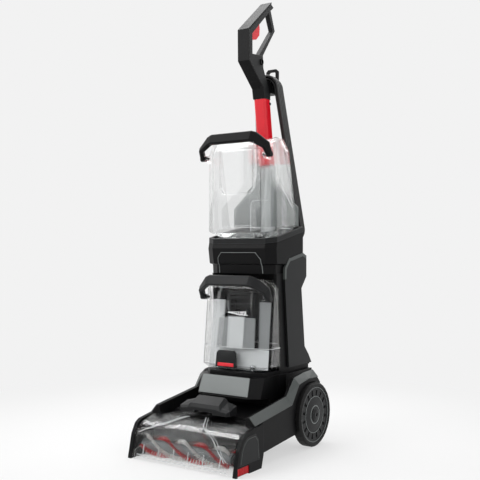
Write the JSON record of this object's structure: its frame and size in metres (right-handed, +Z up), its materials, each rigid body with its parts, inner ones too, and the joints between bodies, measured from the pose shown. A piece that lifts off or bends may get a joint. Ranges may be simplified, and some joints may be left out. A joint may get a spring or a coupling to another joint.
{
  "type": "upright carpet cleaner",
  "caption": "Upright carpet cleaner: wheeled foot with brush roll and clear nozzle, reclining body with two clear tanks, raked loop handle and a hanked cord.",
  "frame": {"origin": "on the floor at the centre of the footprint, cord left out of account", "axes": "+Z up, the foot's lip faces -Y, +X to the right of the machine seen from the front; X = 0 is the plane of symmetry of the body"},
  "size_m": [0.318, 0.455, 1.105],
  "materials": {
    "black_abs": "black moulded ABS, fine texture",
    "dark_grey_abs": "dark grey moulded ABS",
    "grey_abs": "grey moulded ABS",
    "light_grey_abs": "light grey moulded ABS",
    "red_abs": "glossy red moulded ABS",
    "smoked_polycarbonate": "clear, lightly smoked polycarbonate",
    "tyre_rubber": "soft black rubber",
    "plated_steel": "zinc-plated steel",
    "red_nylon": "red nylon bristle",
    "white_nylon": "white nylon bristle",
    "cord_pvc": "black flexible PVC jacket"
  },
  "bodies": {
    "foot": {"foot_chassis": "black_abs", "side_trim_left": "grey_abs", "side_trim_right": "grey_abs", "side_panel_left": "dark_grey_abs", "side_panel_right": "dark_grey_abs", "edge_brush_left": "red_nylon", "edge_brush_right": "red_nylon", "sole_plate": "dark_grey_abs", "brush_motor": "plated_steel", "drive_belt": "tyre_rubber", "wheel_axle": "plated_steel"},
    "wheel_left": {"tyre_left": "tyre_rubber", "wheel_disc_left": "dark_grey_abs"},
    "wheel_right": {"tyre_right": "tyre_rubber", "wheel_disc_right": "dark_grey_abs"},
    "brush_roll": {"brush_core": "light_grey_abs", "brush_pulley": "dark_grey_abs", "bristles_red_1": "red_nylon", "bristles_red_2": "red_nylon", "bristles_white_1": "white_nylon", "bristles_white_2": "white_nylon"},
    "motor_rotor": {"motor_pulley": "dark_grey_abs"},
    "nozzle": {"nozzle_window": "smoked_polycarbonate", "suction_channel": "smoked_polycarbonate"},
    "latch": {"nozzle_latch": "dark_grey_abs"},
    "upright": {"upright_base": "black_abs", "base_front_panel": "grey_abs", "water_pump": "dark_grey_abs", "spine": "black_abs", "spine_cover_left": "dark_grey_abs", "spine_cover_right": "dark_grey_abs", "cover_trim_left": "grey_abs", "cover_trim_right": "grey_abs", "pod_shell": "black_abs", "pod_rim": "dark_grey_abs", "pod_front_panel": "black_abs", "pod_back_cover": "dark_grey_abs", "suction_motor": "plated_steel", "neck": "light_grey_abs", "stem": "red_abs", "handle_frame": "dark_grey_abs", "grip_band": "black_abs", "cord_hook_upper": "black_abs", "cord_hook_lower": "black_abs", "strain_relief": "black_abs", "cord_lead": "cord_pvc", "cord_hank": "cord_pvc", "plug": "black_abs"},
    "fan": {"suction_fan": "light_grey_abs"},
    "recovery_tank": {"dirty_tank": "smoked_polycarbonate", "dirty_lid": "smoked_polycarbonate", "float_stack": "dark_grey_abs"},
    "recovery_bail": {"dirty_bail": "dark_grey_abs"},
    "water_tank": {"clean_tank": "smoked_polycarbonate"},
    "water_bail": {"clean_bail": "black_abs"},
    "valve_cap": {"clean_cap": "black_abs"},
    "trigger": {"trigger": "red_abs"},
    "switch": {"power_switch": "dark_grey_abs"}
  },
  "joints": [
    {"name": "upright_recline", "type": "hinge", "parent": "foot", "child": "upright", "pos_m": [0, 0.1055, 0.077], "axis": [-1, 0, 0], "range_deg": [0, 50]},
    {"name": "wheel_left_spin", "type": "hinge", "parent": "foot", "child": "wheel_left", "pos_m": [0, 0.1055, 0.077], "axis": [-1, 0, 0], "continuous": true},
    {"name": "wheel_right_spin", "type": "hinge", "parent": "foot", "child": "wheel_right", "pos_m": [0, 0.1055, 0.077], "axis": [-1, 0, 0], "continuous": true},
    {"name": "brush_spin", "type": "hinge", "parent": "foot", "child": "brush_roll", "pos_m": [0, -0.1855, 0.0258], "axis": [1, 0, 0], "continuous": true},
    {"name": "brush_motor_spin", "type": "hinge", "parent": "foot", "child": "motor_rotor", "pos_m": [0, -0.064, 0.058], "axis": [1, 0, 0], "continuous": true},
    {"name": "nozzle_slide", "type": "slide", "parent": "foot", "child": "nozzle", "axis": [0, -0.9962, 0.0872], "range_m": [0, 0.06]},
    {"name": "latch_press", "type": "slide", "parent": "foot", "child": "latch", "axis": [0, 0, -1], "range_m": [0, 0.003], "stiffness_N_per_m": 400, "springref_m": -0.003},
    {"name": "fan_spin", "type": "hinge", "parent": "upright", "child": "fan", "pos_m": [0, 0.076, 0.45], "axis": [0, 0, 1], "continuous": true},
    {"name": "recovery_tank_slide", "type": "slide", "parent": "upright", "child": "recovery_tank", "axis": [0, -0.9962, 0.0872], "range_m": [0, 0.12]},
    {"name": "recovery_bail_swing", "type": "hinge", "parent": "recovery_tank", "child": "recovery_bail", "pos_m": [0, -0.009, 0.36], "axis": [1, 0, 0], "range_deg": [0, 35], "stiffness_Nm_per_rad": 0.5, "springref_deg": -11.46},
    {"name": "water_tank_lift", "type": "slide", "parent": "upright", "child": "water_tank", "axis": [0, 0, 1], "range_m": [0, 0.1]},
    {"name": "water_bail_swing", "type": "hinge", "parent": "water_tank", "child": "water_bail", "pos_m": [0, -0.009, 0.7], "axis": [-1, 0, 0], "range_deg": [0, 15]},
    {"name": "valve_cap_turn", "type": "hinge", "parent": "water_tank", "child": "valve_cap", "pos_m": [0.03, 0.052, 0.49], "axis": [0, 0, 1], "range_deg": [0, 90]},
    {"name": "trigger_squeeze", "type": "hinge", "parent": "upright", "child": "trigger", "pos_m": [0, 0.077, 1.046], "axis": [-1, 0, 0], "range_deg": [0, 5], "stiffness_Nm_per_rad": 1, "springref_deg": -5.73},
    {"name": "switch_rock", "type": "hinge", "parent": "upright", "child": "switch", "pos_m": [0.078, 0.14875, 0.456], "axis": [1, 0, 0], "range_deg": [0, 12]}
  ],
  "couplings": [
    {"joint": "brush_motor_spin", "follows": "brush_spin", "ratio": 2}
  ]
}
